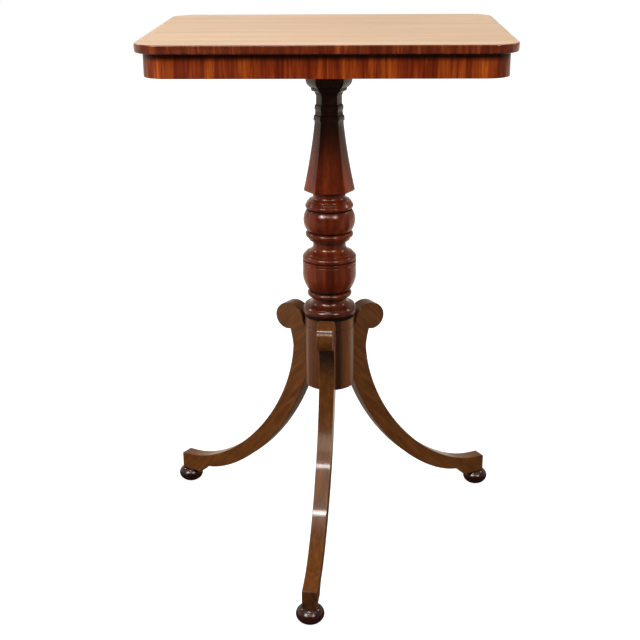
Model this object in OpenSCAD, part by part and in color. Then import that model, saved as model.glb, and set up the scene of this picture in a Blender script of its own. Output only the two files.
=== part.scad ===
// Wine table: a rounded rectangular top on a faceted and turned pillar,
// with three sabre legs let into a round hub.
// Millimetres, +Z up. X runs along the top, and -Y is the front.
// The origin is on the floor, under the middle of the whole table's outline.

/* [Top] */
// Height of the table
table_h = 740; // [700:5:780]
// Length of the top, left to right
top_w = 466; // [420:2:540]
// Depth of the top, front to back
top_d = 383; // [350:2:440]
// Plan radius of the top's corners
top_corner = 34.4; // [30:0.2:44]
// Thickness of the top at its edge
top_t = 10.2; // [9:0.2:14]
// Rounding of the arrises of the top's edge
edge_round = 2; // [1:0.5:3.5]
// Width of the solid edging round the top board
edge_w = 4; // [3.5:0.5:8]
// Thickness of the veneer on the top board
top_veneer_t = 0.9; // [0.6:0.1:1.5]

/* [Frieze] */
// How far the top stands out past the frieze
overhang = 9.2; // [5:0.2:14]
// Plan radius of the frieze's corners
frieze_corner = 31; // [24:1:40]
// Height of the frieze
frieze_h = 31; // [28:1:50]
// Thickness of the frieze rails
rail_t = 18; // [15:1:22]
// Plan size of the corner blocks
corner_size = 42; // [40:1:60]
// Thickness of the veneer on the frieze
frieze_veneer_t = 1; // [0.6:0.1:1.5]

/* [Pillar] */
// Side of the square block that the pillar's top tenon goes through
block_w = 170; // [120:2:220]
// Thickness of that block
block_t = 26; // [20:1:27]
// Largest radius of the faceted shaft, at its foot
shaft_r = 35.8; // [33:0.2:38]
// Angle of the circle that each of the three broad faces takes
broad_face = 72; // [60:1:80]
// Turn of the faceted shaft about the pillar
shaft_turn = 3; // [-10:1:10]
// Radius of the round tenons at both ends
tenon_r = 14; // [11:0.5:15]

/* [Hub and legs] */
// Radius of the hub
hub_r = 35.2; // [34:0.2:38]
// Height of the hub's underside
hub_low = 232; // [220:2:250]
// Height of the hub's top face
hub_top = 336; // [326:2:350]
// Distance of the feet from the pillar's axis
foot_circle = 270.4; // [250:0.4:290]
// Thickness of a leg at its scroll head
leg_head_w = 22.4; // [18:0.2:26]
// Thickness of a leg at the toe
leg_toe_w = 19.8; // [17:0.2:24]
// Turn of the front leg off its true place, as its housing was cut by eye
front_leg_turn = -4.8; // [-6:0.2:6]
// Turn of the back right leg off its true place
right_leg_turn = 0; // [-6:0.2:6]
// Turn of the back left leg off its true place
left_leg_turn = -1.2; // [-6:0.2:6]
// How far each leg's middle plane passes beside the pillar's axis
leg_aside = 1.6; // [-3:0.2:3]

/* [Feet] */
// Largest radius of a bun foot
bun_r = 19; // [17:0.1:23]
// Height of a bun foot up to the toe
bun_h = 22.8; // [20:0.2:28]
// Radius of the foot's spigot in the toe
spigot_r = 5; // [4:0.25:6]

/* [Hidden] */
$fn = 96;

// Heights of the main joints
top_low = table_h - top_t;
frieze_low = top_low - frieze_h;
block_low = top_low - block_t;

// Sizes inside the frieze veneer
frame_w = top_w - 2 * overhang - 2 * frieze_veneer_t;
frame_d = top_d - 2 * overhang - 2 * frieze_veneer_t;
frame_corner = frieze_corner - frieze_veneer_t;
tongue_t = 6;
tongue_l = 8;
glue_leg = 12;
glue_l = 44;

// Pillar: flat underside of the shaft, foot of the capital, the turned neck
shaft_low = hub_top + 183.2;
shaft_foot = 2.4;
cap_low = block_low - 90;
shaft_hollow = 1.3;
neck_r = 22.7;
bow_steps = 8;
wedge_w = 2.6;
wedge_tip = 0.6;
wedge_l = 19;

// Dovetail tongues on the legs: width at the hub's skin and at the root, depth, height
dovetail_mouth = 9;
dovetail_root = 14;
dovetail_depth = 13;
dovetail_top = hub_top - 22;
scribe_drop = 14;
scribe_depth = 0.5;

// Leg: scroll head, foot of the outer curve at the scroll, toe
head_r = 19.2;
head_at = [66.4, 324.8];
brow_r = 24.1;
brow_turn = 35;
neck_out = [56.1, 281.7];
cusp_out = [60.9, 306.6];
toe_end = foot_circle + 8.2;
toe_top = 50;
pad_in = foot_circle - 27.6;
pad_step = [foot_circle - 45.4, 37.3];
toe_round = 2.4;
toe_curve_steps = 16;

// Bun foot: height of its widest ring, half-height of its whole ellipse, spigot
bun_waist = 0.53 * bun_h;
bun_rise = 0.6 * bun_h;
spigot_l = 14;

// Screws that hold the block to the top board
screw_r = 2.2;
screw_head_r = 4.4;
screw_head_h = 2.4;
screw_bite = 6.5;
screw_spread = 62;

// Plan angles of the legs: front, back right, back left
leg_turns = [-90 + front_leg_turn, 30 + right_leg_turn, 150 + left_leg_turn];

// The outline's reach on each side of the pillar, which sets the origin
feet_x = [for (a = leg_turns) foot_circle * cos(a) - leg_aside * sin(a)];
feet_y = [for (a = leg_turns) foot_circle * sin(a) + leg_aside * cos(a)];
reach_right = max(top_w / 2, max(feet_x) + bun_r);
reach_left = min(-top_w / 2, min(feet_x) - bun_r);
reach_back = max(top_d / 2, max(feet_y) + bun_r);
reach_front = min(-top_d / 2, min(feet_y) - bun_r);
pillar_at = [-(reach_left + reach_right) / 2, -(reach_front + reach_back) / 2, 0];

// Colours as the finished wood shows them
top_colour = [0.80, 0.62, 0.47];
veneer_colour = [0.55, 0.24, 0.10];
edging_colour = [0.33, 0.14, 0.07];
pillar_colour = [0.29, 0.11, 0.06];
leg_colour = [0.38, 0.21, 0.10];
foot_colour = [0.17, 0.08, 0.06];
inner_colour = [0.66, 0.52, 0.36];
steel_colour = [0.55, 0.55, 0.56];

// Points of the arc from p to q, without p. bulge is its height over the chord,
// and is positive away from the axis when the outline runs upwards.
function bow(p, q, bulge, steps = bow_steps) =
    bulge == 0 ? [q] :
    let (
        chord = q - p,
        span = norm(chord),
        along = chord / span,
        out = [along.y, -along.x],
        h = abs(bulge),
        radius = (span * span / 4 + h * h) / (2 * h),
        half = asin(span / 2 / radius),
        middle = (p + q) / 2
    )
    [for (i = [1:steps]) let (t = -half + 2 * half * i / steps)
        middle + along * radius * sin(t) + out * sign(bulge) * (radius * cos(t) - radius + h)];

// An outline from rows of [radius, height, bulge up to the next row], raised by z0
function outline(rows, z0) = concat(
    [[rows[0].x, rows[0].y + z0]],
    [for (i = [0:len(rows) - 2])
        each bow([rows[i].x, rows[i].y + z0], [rows[i + 1].x, rows[i + 1].y + z0], rows[i].z)]
);

// Points of a cubic curve from a to d, with handles b and c, without a
function curve(a, b, c, d, steps) =
    [for (i = [1:steps]) let (t = i / steps, s = 1 - t)
        s * s * s * a + 3 * s * s * t * b + 3 * s * t * t * c + t * t * t * d];

// Points of a circle's arc from angle a0 to a1
function arc(middle, radius, a0, a1, steps) =
    [for (i = [0:steps]) let (a = a0 + (a1 - a0) * i / steps)
        middle + radius * [cos(a), sin(a)]];

// Turned mouldings between the hub and the shaft, in heights above the hub
turned_rows = [
    [tenon_r, 0, 0],
    [34.4, 0, 0], [34.4, 6.2, 0], [38.2, 6.8, 1.5], [35.6, 15.4, 0],
    [34.8, 16.4, 0], [35.6, 17.3, 0], [30.9, 18.2, -1.8], [24.3, 26.0, 0],
    [24.2, 29.6, 0], [28.2, 30.4, 3.2], [28.6, 38.2, 0],
    [27.0, 38.8, 0], [27.0, 40.2, 0], [30.3, 41.2, 2.7],
    [37.9, 68.4, 0], [37.9, 78.6, 0],
    [37.1, 79.4, 0], [37.9, 80.2, 0.3], [37.9, 83.4, 0],
    [35.8, 84.0, 0], [35.8, 84.9, 0], [37.7, 85.4, 1.6],
    [34.8, 92.4, 0], [33.6, 93.2, 0], [33.9, 94.2, 0.2],
    [31.2, 96.2, -2.1], [23.1, 105.7, 0], [23.0, 112.4, 0],
    [28.4, 113.2, 0.3], [29.6, 116.4, 0], [31.4, 117.4, 2.2],
    [31.6, 125.0, 0], [29.4, 125.6, 0], [29.4, 127.0, 0],
    [32.0, 127.6, 4.6], [31.9, 156.7, 0], [29.8, 157.4, 0],
    [29.8, 158.3, 0], [31.4, 158.9, 0.6], [33.7, 161.6, 0.4],
    [33.0, 164.4, 0], [30.9, 168.3, 0], [28.6, 169.2, 0],
    [28.2, 170.2, 0], [28.8, 171.0, -1.2], [neck_r, 175.2, 0],
    [neck_r, shaft_low - hub_top + 0.1, 0]
];

// Capital above the shaft, in heights above its foot
capital_rows = [
    [20.1, 0, 0], [20.2, 3.0, 0],
    [21.4, 4.0, 0.2], [20.8, 10.4, 0], [19.5, 11.0, 0],
    [18.8, 16.8, 0], [19.3, 17.6, 0.6],
    [19.3, 24.6, 0], [18.2, 25.2, 0],
    [17.9, 27.4, 0], [17.8, 36.4, -0.5],
    [20.4, 42.4, 0], [22.8, 43.2, 0],
    [24.4, 44.4, 0], [24.6, 47.6, 0], [25.0, 48.0, 1.2],
    [31.9, 57.0, 0], [32.2, 71.0, 0],
    [31.0, 73.0, 0], [31.0, 90.0, 0]
];

// Moves what is drawn round the pillar's axis into the part's frame
module in_frame() {
    translate(pillar_at) children();
}

// Rectangle with round corners, centred on the pillar
module round_rect(w, d, r) {
    for (x = [-1, 1], y = [-1, 1])
        translate([x * (w / 2 - r), y * (d / 2 - r)]) circle(r);
    square([w - 2 * r, d], center = true);
    square([w, d - 2 * r], center = true);
}

// Sweeps a profile of [outward, up] round a rectangle with round corners.
// The profile's origin runs along the centres of the corners' arcs.
module sweep_rect(w, d, r) {
    for (side = [0, 1]) for (flip = [0, 180]) rotate(side * 90 + flip)
        translate([(side == 0 ? w : d) / 2 - r, (side == 0 ? d : w) / 2 - r, 0])
            rotate([90, 0, 0]) linear_extrude((side == 0 ? d : w) - 2 * r) children();
    for (x = [-1, 1], y = [-1, 1])
        translate([x * (w / 2 - r), y * (d / 2 - r), 0])
            rotate(x > 0 ? (y > 0 ? 0 : -90) : (y > 0 ? 90 : 180))
                rotate_extrude(angle = 90) children();
}

// Edging in section: flat on the board's side, both outer arrises rounded
module edging_section() {
    r = top_corner;
    polygon(concat(
        [[r - edge_w, 0]],
        arc([r - edge_round, edge_round], edge_round, -90, 0, bow_steps),
        arc([r - edge_round, top_t - edge_round], edge_round, 0, 90, bow_steps),
        [[r - edge_w, top_t]]
    ));
}

module board_outline() {
    round_rect(top_w - 2 * edge_w, top_d - 2 * edge_w, top_corner - edge_w);
}

module top_board() {
    color(inner_colour) in_frame() difference() {
        translate([0, 0, top_low]) linear_extrude(top_t - top_veneer_t) board_outline();
        screw_places() cylinder(r = screw_r, h = 2 * screw_bite, center = true);
    }
}

module top_veneer() {
    color(top_colour) in_frame()
        translate([0, 0, table_h - top_veneer_t]) linear_extrude(top_veneer_t) board_outline();
}

module top_edging() {
    color(edging_colour) in_frame()
        translate([0, 0, top_low]) sweep_rect(top_w, top_d, top_corner) edging_section();
}

// A frieze rail: length between the corner blocks, with a tongue at each end
module frieze_rail(length, out, turn) {
    color(inner_colour) in_frame() rotate(turn)
        translate([0, out - rail_t / 2, frieze_low]) linear_extrude(frieze_h) {
            square([length, rail_t], center = true);
            square([length + 2 * tongue_l, tongue_t], center = true);
        }
}

// A corner block, rounded outside and grooved for both tongues
module frieze_corner(x, y) {
    long_groove = frame_w / 2 - rail_t / 2;
    short_groove = frame_d / 2 - rail_t / 2;
    color(inner_colour) in_frame() translate([0, 0, frieze_low]) linear_extrude(frieze_h)
        difference() {
            intersection() {
                round_rect(frame_w, frame_d, frame_corner);
                translate([x * (frame_w - corner_size) / 2, y * (frame_d - corner_size) / 2])
                    square(corner_size, center = true);
            }
            translate([x * (frame_w / 2 - corner_size), y * short_groove])
                square([2 * tongue_l, tongue_t], center = true);
            translate([x * long_groove, y * (frame_d / 2 - corner_size)])
                square([tongue_t, 2 * tongue_l], center = true);
        }
}

module frieze_veneer() {
    color(veneer_colour) in_frame() translate([0, 0, frieze_low]) linear_extrude(frieze_h)
        difference() {
            round_rect(top_w - 2 * overhang, top_d - 2 * overhang, frieze_corner);
            round_rect(frame_w, frame_d, frame_corner);
        }
}

// Three-cornered blocks glued between the rails and the top board
module glue_blocks() {
    reach_x = frame_w / 2 - rail_t;
    reach_y = frame_d / 2 - rail_t;
    color(inner_colour) in_frame() translate([0, 0, top_low]) {
        for (y = [-1, 1], i = [-1, 1]) translate([i * frame_w / 5, y * reach_y, 0])
            rotate(y > 0 ? 0 : 180) glue_block();
        for (x = [-1, 1]) translate([x * reach_x, 0, 0]) rotate(x > 0 ? -90 : 90) glue_block();
    }
}

module glue_block() {
    rotate([90, 0, -90]) translate([0, 0, -glue_l / 2])
        linear_extrude(glue_l) polygon([[0, 0], [glue_leg, 0], [0, -glue_leg]]);
}

// Places of the screws through the block, on its underside's level
module screw_places() {
    for (a = [-1, 1], b = [-1, 0, 1]) {
        translate([a * screw_spread, b * screw_spread, top_low]) children();
        if (b == 0) translate([0, a * screw_spread, top_low]) children();
    }
}

module screw_shape() {
    translate([0, 0, -block_t]) cylinder(r = screw_head_r, h = screw_head_h);
    translate([0, 0, -block_t]) cylinder(r = screw_r, h = block_t + screw_bite);
}

module block_screws() {
    color(steel_colour) in_frame() screw_places() screw_shape();
}

module pillar_block() {
    color(inner_colour) in_frame() difference() {
        translate([0, 0, block_low + block_t / 2])
            cube([block_w, block_w, block_t], center = true);
        translate([0, 0, block_low - 1]) cylinder(r = tenon_r, h = block_t + 2);
        screw_places() screw_shape();
    }
}

// The six faces of the shaft and capital: three pairs, each a broad face and the
// narrow face opposite it, both following the same outline
module faceted_body() {
    rows = concat(
        [[shaft_r - 1.6, shaft_low], [shaft_r - 0.4, shaft_low + 1]],
        [[shaft_r, shaft_low + shaft_foot]],
        bow([shaft_r, shaft_low + shaft_foot], [capital_rows[0].x, cap_low], -shaft_hollow, 14),
        outline(capital_rows, cap_low)
    );
    broad = cos(broad_face / 2);
    narrow = cos(60 - broad_face / 2);
    intersection_for(k = [0:2])
        rotate(-90 + shaft_turn + 120 * k) rotate([90, 0, 0])
            linear_extrude(4 * shaft_r, center = true) polygon(concat(
                [for (p = rows) [broad * p.x, p.y]],
                [for (i = [len(rows) - 1:-1:0]) [-narrow * rows[i].x, rows[i].y]]
            ));
}

// A wedge, thick edge up, or down with flip = 1, its thick face on the tenon's end
module wedge_shape(end_z, flip) {
    translate([0, 0, end_z]) mirror([0, 0, flip]) rotate([90, 0, 0])
        linear_extrude(1.6 * tenon_r, center = true) polygon([
            [-wedge_w / 2, 0], [wedge_w / 2, 0],
            [wedge_tip / 2, -wedge_l], [-wedge_tip / 2, -wedge_l]
        ]);
}

module pillar() {
    color(pillar_colour) in_frame() difference() {
        union() {
            faceted_body();
            rotate_extrude() polygon(concat(
                outline(turned_rows, hub_top),
                [[0, shaft_low + 0.1], [0, hub_low], [tenon_r, hub_low]]
            ));
            translate([0, 0, block_low - 1]) cylinder(r = tenon_r, h = block_t + 1);
        }
        wedge_shape(top_low, 0);
        wedge_shape(hub_low, 1);
    }
}

module top_tenon_wedge() {
    color(leg_colour) in_frame() wedge_shape(top_low, 0);
}

module hub_tenon_wedge() {
    color(leg_colour) in_frame() wedge_shape(hub_low, 1);
}

// Dovetail tongue in plan, pointing from the hub's skin to its axis
module dovetail(height) {
    root = hub_r - dovetail_depth;
    linear_extrude(height) polygon([
        [hub_r + 1, -dovetail_mouth / 2], [hub_r + 1, dovetail_mouth / 2],
        [root, dovetail_root / 2], [root, -dovetail_root / 2]
    ]);
}

module hub() {
    scribe_z = hub_top - scribe_drop;
    color(leg_colour) in_frame() difference() {
        translate([0, 0, hub_low]) cylinder(r = hub_r, h = hub_top - hub_low);
        translate([0, 0, hub_low - 1]) cylinder(r = tenon_r, h = hub_top - hub_low + 2);
        for (a = leg_turns) rotate(a)
            translate([0, leg_aside, hub_low - 1]) dovetail(dovetail_top - hub_low + 1);
        rotate_extrude() polygon([
            [hub_r + 1, scribe_z + 1 + scribe_depth], [hub_r - scribe_depth, scribe_z],
            [hub_r + 1, scribe_z - 1 - scribe_depth]
        ]);
    }
}

// Side outline of a leg as [distance from the axis, height]
function leg_outline() =
    let (brow_at = head_at - (brow_r - head_r) * [cos(brow_turn), sin(brow_turn)])
    concat(
        [[hub_r - 4, hub_low], [hub_r, hub_low]],
        curve([hub_r, hub_low], [72.1, 123.8], [165.1, 45.4], pad_step, toe_curve_steps),
        bow(pad_step, [pad_in, bun_h], -1.5, 4),
        [[toe_end, bun_h]],
        arc([toe_end - toe_round, toe_top - 0.5 - toe_round], toe_round, 0, 80, 4),
        curve([toe_end - toe_round, toe_top], [181, 42.5], [62.5, 167.3], neck_out,
            toe_curve_steps),
        bow(neck_out, cusp_out, -0.5, 4),
        arc(head_at, head_r, -100, brow_turn, 14),
        arc(brow_at, brow_r, brow_turn + 8, 180, 16),
        [[hub_r - 4, head_at.y - 12]]
    );

// The leg on the +X side: the side outline, tapered upwards, with its tongue
module leg_shape() {
    head = leg_head_w / 2;
    toe = leg_toe_w / 2;
    difference() {
        union() {
            difference() {
                translate([0, leg_aside, 0]) intersection() {
                    rotate([90, 0, 0]) linear_extrude(2 * leg_head_w, center = true)
                        polygon(leg_outline());
                    rotate([90, 0, 90]) linear_extrude(toe_end + 1) polygon([
                        [-toe, bun_h - 1], [toe, bun_h - 1],
                        [head, head_at.y + brow_r], [-head, head_at.y + brow_r]
                    ]);
                }
                cylinder(r = hub_r, h = table_h);
            }
            intersection() {
                translate([0, leg_aside, hub_low]) dovetail(dovetail_top - hub_low);
                translate([0, 0, hub_low]) cylinder(r = hub_r, h = table_h);
            }
        }
        translate([foot_circle, leg_aside, 0]) cylinder(r = spigot_r, h = bun_h + spigot_l);
    }
}

module leg(i) {
    color(leg_colour) in_frame() rotate(leg_turns[i]) leg_shape();
}

// A bun foot: an ellipse cut flat at the floor and under the toe, with its spigot
module foot(i) {
    a0 = -asin(bun_waist / bun_rise);
    a1 = asin((bun_h - bun_waist) / bun_rise);
    steps = 20;
    color(foot_colour) in_frame() rotate(leg_turns[i]) translate([foot_circle, leg_aside, 0])
        rotate_extrude() polygon(concat(
            [[0, 0]],
            [for (k = [0:steps]) let (a = a0 + (a1 - a0) * k / steps)
                [bun_r * cos(a), bun_waist + bun_rise * sin(a)]],
            [[spigot_r, bun_h], [spigot_r, bun_h + spigot_l], [0, bun_h + spigot_l]]
        ));
}

top_board();
top_veneer();
top_edging();
frieze_rail(frame_w - 2 * corner_size, frame_d / 2, 180);  // frieze_rail_front
frieze_rail(frame_w - 2 * corner_size, frame_d / 2, 0);  // frieze_rail_back
frieze_rail(frame_d - 2 * corner_size, frame_w / 2, 90);  // frieze_rail_left
frieze_rail(frame_d - 2 * corner_size, frame_w / 2, -90);  // frieze_rail_right
frieze_corner(-1, -1);  // frieze_corner_front_left
frieze_corner(1, -1);  // frieze_corner_front_right
frieze_corner(-1, 1);  // frieze_corner_back_left
frieze_corner(1, 1);  // frieze_corner_back_right
frieze_veneer();
glue_blocks();
pillar_block();
block_screws();
pillar();
top_tenon_wedge();
hub_tenon_wedge();
hub();
leg(0);  // leg_front
leg(1);  // leg_back_right
leg(2);  // leg_back_left
foot(0);  // foot_front
foot(1);  // foot_back_right
foot(2);  // foot_back_left
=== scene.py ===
# %% [markdown]
# # A wine table, dressed in Blender
# A small tripod table has a faded top with a dark edge, a striped frieze, a pillar
# that is half turned and half six-sided, a hub, and three sabre legs on bun feet. The
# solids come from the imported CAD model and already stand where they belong. This
# notebook gives them what a solid lacks: eased arrises, turned forms that shade
# smoothly, and wood that has grain, polish and wear.
#
# Lengths are in metres, and in millimetres where a comment says so. +Z is up, and
# the front looks along -Y.

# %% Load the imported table
import math

import bmesh
import bpy
from mathutils import Matrix, Vector


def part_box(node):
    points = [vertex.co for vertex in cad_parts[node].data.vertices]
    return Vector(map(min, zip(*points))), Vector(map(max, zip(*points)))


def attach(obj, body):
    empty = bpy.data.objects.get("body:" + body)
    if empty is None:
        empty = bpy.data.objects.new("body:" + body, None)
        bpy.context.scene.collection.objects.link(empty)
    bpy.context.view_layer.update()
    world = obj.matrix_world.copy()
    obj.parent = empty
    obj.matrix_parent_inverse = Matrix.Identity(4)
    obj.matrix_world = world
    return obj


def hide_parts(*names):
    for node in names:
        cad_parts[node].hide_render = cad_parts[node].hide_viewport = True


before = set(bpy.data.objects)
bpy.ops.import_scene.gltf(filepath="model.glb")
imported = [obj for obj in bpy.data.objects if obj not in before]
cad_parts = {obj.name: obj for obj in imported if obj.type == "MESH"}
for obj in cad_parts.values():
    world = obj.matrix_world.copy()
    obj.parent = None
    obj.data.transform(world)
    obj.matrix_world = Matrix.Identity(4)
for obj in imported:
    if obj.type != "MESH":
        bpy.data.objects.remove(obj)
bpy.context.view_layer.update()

# %% [markdown]
# ## Levels and places
# Each dressed piece sits on what carries it. Its place could be typed in a second
# time, but then it would drift when the solids change. So the pillar's axis and the
# levels of the main joints are read from the solids.

# %% Measure the solids
MM = 0.001
hub_lo, hub_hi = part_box("hub")
top_lo, top_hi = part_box("top_edging")
frieze_lo, frieze_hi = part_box("frieze_veneer")
block_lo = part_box("pillar_block")[0]
axis = (hub_lo + hub_hi) / 2
axis.z = 0.0
hub_low, hub_top = hub_lo.z, hub_hi.z
hub_r = (hub_hi.x - hub_lo.x) / 2
top_middle = (top_lo + top_hi) / 2
print("axis:", axis, "hub:", hub_low, hub_top, "top:", top_hi - top_lo)

# %% [markdown]
# ## Camera
# The table is seen from almost straight in front, from a little above its top, and
# the camera looks down by about twenty degrees. Its place, angles and lens were fitted
# to the outlines of the top, the hub and the feet, so they are odd numbers. It could
# be aimed with a constraint, but its own three axes are built here from the angles,
# and that leaves no doubt about the order of the turns.

# %% Make the camera
CAMERA_PLACE = Vector((36.28, -1578.20, 907.17)) * MM
CAMERA_PAN, CAMERA_PITCH, CAMERA_ROLL = -1.794, 19.61, -0.36
LENS_MM, SENSOR_MM = 67.186, 36.0


def camera_at(place, pan, pitch, roll):
    """A level camera looking along +Y, turned by pan, tipped down by pitch, then rolled."""
    pan, pitch, roll = (math.radians(a) for a in (pan, pitch, roll))
    ahead = Vector((math.sin(pan) * math.cos(pitch), math.cos(pan) * math.cos(pitch),
                    -math.sin(pitch)))
    side = Vector((math.cos(pan), -math.sin(pan), 0.0))
    over = side.cross(ahead)
    right = math.cos(roll) * side + math.sin(roll) * over
    up = math.cos(roll) * over - math.sin(roll) * side
    data = bpy.data.cameras.new("camera")
    data.lens = LENS_MM
    data.sensor_width = SENSOR_MM
    camera = bpy.data.objects.new("camera", data)
    bpy.context.scene.collection.objects.link(camera)
    turn = Matrix((right, up, -ahead)).transposed().to_4x4()
    camera.matrix_world = Matrix.Translation(place) @ turn
    bpy.context.scene.camera = camera
    return camera


camera = camera_at(CAMERA_PLACE, CAMERA_PAN, CAMERA_PITCH, CAMERA_ROLL)
print("camera:", tuple(camera.location))

# %% [markdown]
# ## Node trees
# Geometry Nodes and shader nodes can be placed by hand, but a script can be read and
# run again. One small helper adds a node, fills its inputs with numbers, and links
# those that are given a socket. The others name the few steps that come back often.

# %% Helpers for node trees
def add(tree, kind, inputs=None, **settings):
    """Adds a node. inputs maps socket names or numbers to values or to output sockets."""
    node = tree.nodes.new(kind)
    for key, value in settings.items():
        setattr(node, key, value)
    for key, value in (inputs or {}).items():
        socket = node.inputs[key]
        if isinstance(value, bpy.types.NodeSocket):
            tree.links.new(value, socket)
        else:
            socket.default_value = value
    return node


def group_tree(name, kind, inputs, outputs):
    """A node group with named sockets, given as {name: (socket type, default)} and {name: type}."""
    tree = bpy.data.node_groups.new(name, kind)
    for label, (socket_type, default) in inputs.items():
        socket = tree.interface.new_socket(name=label, in_out="INPUT", socket_type=socket_type)
        if default is not None:
            socket.default_value = default
    for label, socket_type in outputs.items():
        tree.interface.new_socket(name=label, in_out="OUTPUT", socket_type=socket_type)
    return tree, tree.nodes.new("NodeGroupInput"), tree.nodes.new("NodeGroupOutput")


def combine(tree, operation, a, b=0.0, c=0.0):
    """One Math node, and its output."""
    return add(tree, "ShaderNodeMath", {0: a, 1: b, 2: c}, operation=operation).outputs[0]


def times(tree, a, b):
    """The product of two sockets or numbers."""
    return combine(tree, "MULTIPLY", a, b)


def largest(tree, *values):
    """The largest of several sockets or numbers."""
    result = values[0]
    for value in values[1:]:
        result = combine(tree, "MAXIMUM", result, value)
    return result


def rise(tree, value, start, end, low=0.0, high=1.0):
    """low where value is start, high where it is end, straight between and level beyond."""
    return add(tree, "ShaderNodeMapRange", {
        "Value": value, "From Min": start, "From Max": end,
        "To Min": low, "To Max": high}).outputs[0]


def component(tree, vector, letter):
    """The X, Y or Z of a vector."""
    return add(tree, "ShaderNodeSeparateXYZ", {0: vector}).outputs[letter]


def end_tree(tree, geometry, into, out):
    """The last steps of a geometry tree. The export drops instances, so they are made real."""
    whole = add(tree, "GeometryNodeRealizeInstances", {"Geometry": geometry})
    dressed = add(tree, "GeometryNodeSetMaterial", {
        "Geometry": whole.outputs[0], "Material": into.outputs["Finish"]})
    tree.links.new(dressed.outputs[0], out.inputs["Geometry"])


print("node helpers: add, group_tree, combine, times, largest, rise, component, end_tree")

# %% [markdown]
# ## Meshes
# Every finished piece is a plain mesh whose object stands at the origin, as the
# solids' objects do. A geometry tree could stay on the piece as a live modifier, but
# the export wants plain meshes, so each result is kept as one straight away.

# %% Helpers for meshes
SAME_PLACE, SMOOTH_ANGLE = 1e-6, 32.0


def link(obj):
    bpy.context.scene.collection.objects.link(obj)
    return obj


def mesh_object(name, points, edges=(), faces=()):
    """An object at the origin with these points, edges and faces."""
    mesh = bpy.data.meshes.new(name)
    mesh.from_pydata([tuple(p) for p in points], list(edges), list(faces))
    mesh.update()
    return link(bpy.data.objects.new(name, mesh))


def made_by(tree, base, name, values):
    """Runs a geometry tree on base, and keeps the result as a plain mesh object."""
    modifier = base.modifiers.new(tree.name, "NODES")
    modifier.node_group = tree
    for label, value in values.items():
        modifier[tree.interface.items_tree[label].identifier] = value
    graph = bpy.context.evaluated_depsgraph_get()
    mesh = bpy.data.meshes.new_from_object(base.evaluated_get(graph))
    mesh.name = name
    bpy.data.objects.remove(base)
    return link(bpy.data.objects.new(name, mesh))


def crisp(obj, angle=SMOOTH_ANGLE):
    """Merges doubles, points faces outwards and shades smoothly up to an angle."""
    mesh = obj.data
    shape = bmesh.new()
    shape.from_mesh(mesh)
    bmesh.ops.remove_doubles(shape, verts=shape.verts, dist=SAME_PLACE)
    bmesh.ops.recalc_face_normals(shape, faces=shape.faces)
    for face in shape.faces:
        face.smooth = True
    for edge in shape.edges:
        edge.smooth = len(edge.link_faces) == 2 and edge.calc_face_angle() < math.radians(angle)
    shape.to_mesh(mesh)
    shape.free()
    mesh.update()
    print(f"{obj.name}: {len(mesh.polygons)} faces")
    return obj


def joined(name, parts):
    """Joins objects into one mesh."""
    shape = bmesh.new()
    for part in parts:
        shape.from_mesh(part.data)
        bpy.data.objects.remove(part)
    mesh = bpy.data.meshes.new(name)
    shape.to_mesh(mesh)
    shape.free()
    return link(bpy.data.objects.new(name, mesh))


def skin(count, rings):
    """Faces of a closed skin over rings of count points each, with both ends capped."""
    faces = [tuple(range(count)), tuple(range((rings - 1) * count, rings * count))]
    for k in range(rings - 1):
        faces += [(k * count + i, k * count + (i + 1) % count,
                   (k + 1) * count + (i + 1) % count, (k + 1) * count + i) for i in range(count)]
    return faces


def store(obj, name, numbers):
    """Keeps one number for each point of a mesh, for a tree or a material to read."""
    obj.data.attributes.new(name, "FLOAT", "POINT").data.foreach_set("value", numbers)


print("mesh helpers: link, mesh_object, made_by, crisp, joined, skin, store")

# %% [markdown]
# ## Wood grain
# The table looks like mahogany under old polish. Its grain has three scales: broad
# figure, fine fibres, and short dark pores. A picture of wood would repeat, and would
# stretch on turned forms. Noise that is drawn out along the grain runs through the
# wood, as the real thing does. One group makes all three scales, and every wood uses it
# with its own values. The grain runs along the group's Z, so a board or a leg only has
# to turn its coordinates.

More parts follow.
